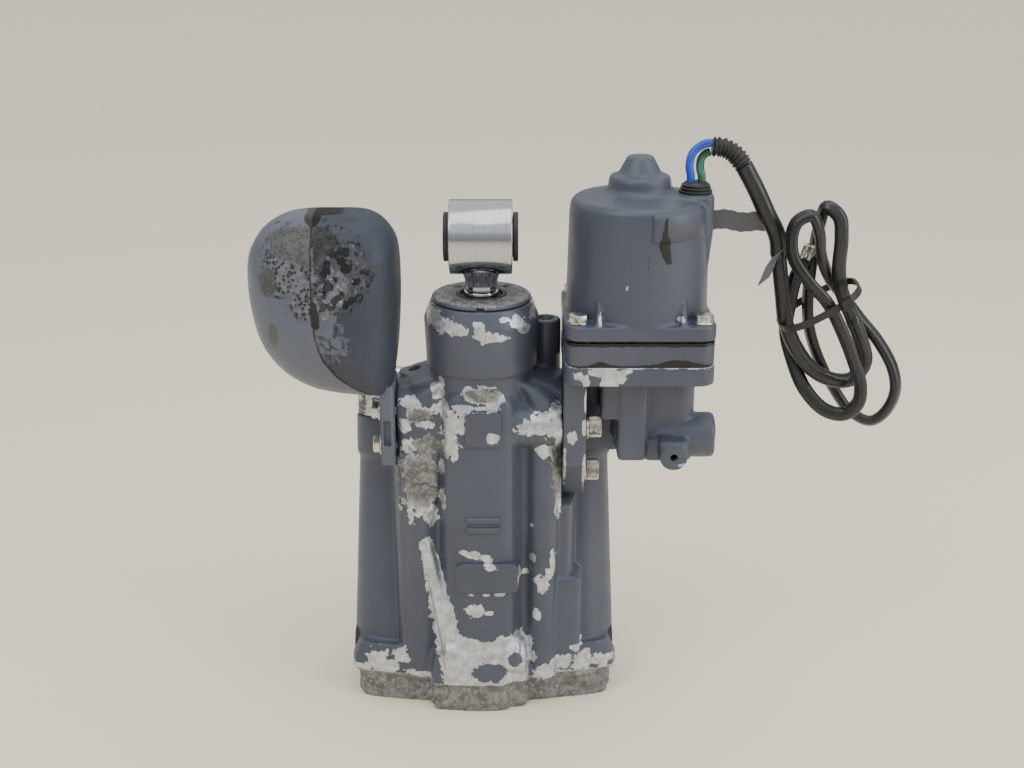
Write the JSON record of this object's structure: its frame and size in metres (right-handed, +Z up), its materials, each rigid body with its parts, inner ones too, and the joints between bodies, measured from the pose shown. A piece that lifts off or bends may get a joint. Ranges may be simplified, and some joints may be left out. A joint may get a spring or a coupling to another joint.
{
  "type": "power trim and tilt unit",
  "caption": "Electro-hydraulic trim and tilt unit: a vertical ram with an eye end, trim rams beside it, a fluid tank, and an electric motor driving a gear pump.",
  "frame": {"origin": "on the tilt cylinder's axis at the flat underside of the casting", "axes": "+X from the tilt cylinder towards the electric motor, +Y away from the face with the square pad, +Z up along the tilt rod towards its eye"},
  "size_m": [0.3858, 0.1173, 0.3513],
  "materials": {
    "paint": "semi-matte blue-grey paint, chipped",
    "steel": "bright machined",
    "dark_steel": "dark machined",
    "rubber": "matt black",
    "plastic": "grey painted plastic",
    "copper": "enamelled copper",
    "alloy": "machined",
    "brass": "satin",
    "blue_wire": "satin",
    "green_wire": "satin"
  },
  "bodies": {
    "unit": {"cylinder_housing": "paint", "tilt_cap": "dark_steel", "tilt_wiper_seal": "rubber", "left_trim_cap": "paint", "left_trim_wiper": "rubber", "right_trim_cap": "paint", "right_trim_wiper": "rubber", "lower_bush_left": "rubber", "lower_bush_right": "rubber", "tank_inner_half": "plastic", "tank_outer_half": "plastic", "tank_fill_plug": "rubber", "tank_port_ring": "rubber", "tank_bolt_upper": "steel", "tank_bolt_lower": "steel", "motor_housing": "paint", "motor_top_bearing": "brass", "motor_magnet_front": "dark_steel", "motor_magnet_rear": "dark_steel", "brush_plate": "plastic", "brush_left": "rubber", "brush_right": "rubber", "motor_mid_plate": "alloy", "shaft_seal": "rubber", "motor_bolt_1": "steel", "motor_bolt_2": "steel", "motor_bolt_3": "steel", "motor_bolt_4": "steel", "pump_body": "paint", "shuttle_plug": "steel", "pump_screw_upper": "steel", "pump_screw_lower": "steel", "lead_grommet": "rubber", "lead_wire_blue": "blue_wire", "lead_wire_green": "green_wire", "lead_corrugated_tube": "rubber", "lead_cable": "rubber", "lead_terminal_one": "steel", "lead_strap": "rubber", "lead_zip_tie": "rubber"},
    "tilt_rod_set": {"tilt_rod": "steel", "rod_eye": "steel", "eye_bush_left": "rubber", "eye_bush_right": "rubber", "tilt_piston": "alloy", "tilt_piston_ring": "rubber", "tilt_piston_nut": "steel"},
    "free_piston_body": {"free_piston": "alloy"},
    "left_trim_rod_set": {"left_trim_rod": "steel", "left_trim_piston": "alloy"},
    "right_trim_rod_set": {"right_trim_rod": "steel", "right_trim_piston": "alloy"},
    "armature": {"armature_core": "dark_steel", "armature_winding": "copper", "commutator": "copper", "armature_shaft": "steel", "pump_drive_gear": "steel"},
    "driven_gear": {"pump_driven_gear": "steel"},
    "spool": {"shuttle_spool": "steel"},
    "manual_valve": {"manual_valve_screw": "brass"}
  },
  "joints": [
    {"name": "tilt_extend", "type": "slide", "parent": "unit", "child": "tilt_rod_set", "axis": [0, 0, 1], "range_m": [0, 0.138]},
    {"name": "free_piston_slide", "type": "slide", "parent": "unit", "child": "free_piston_body", "axis": [0, 0, 1], "range_m": [0, 0.138]},
    {"name": "left_trim_extend", "type": "slide", "parent": "unit", "child": "left_trim_rod_set", "axis": [0, 0.2079, 0.9781], "range_m": [0, 0.06]},
    {"name": "right_trim_extend", "type": "slide", "parent": "unit", "child": "right_trim_rod_set", "axis": [0, 0.2079, 0.9781], "range_m": [0, 0.06]},
    {"name": "motor_spin", "type": "hinge", "parent": "unit", "child": "armature", "pos_m": [0.091, 0, 0.27], "axis": [0, 0, 1], "continuous": true},
    {"name": "driven_gear_spin", "type": "hinge", "parent": "unit", "child": "driven_gear", "pos_m": [0.091, 0.015, 0.22], "axis": [0, 0, 1], "continuous": true},
    {"name": "spool_shift", "type": "slide", "parent": "unit", "child": "spool", "axis": [0, 1, 0], "range_m": [-0.003, 0.003]},
    {"name": "manual_valve_turn", "type": "hinge", "parent": "unit", "child": "manual_valve", "pos_m": [0.12, -0.014, 0.1765], "axis": [1, 0, 0], "range_deg": [0, 360]}
  ],
  "couplings": [
    {"joint": "free_piston_slide", "follows": "tilt_extend", "ratio": 1},
    {"joint": "right_trim_extend", "follows": "left_trim_extend", "ratio": 1},
    {"joint": "driven_gear_spin", "follows": "motor_spin", "ratio": -1}
  ]
}
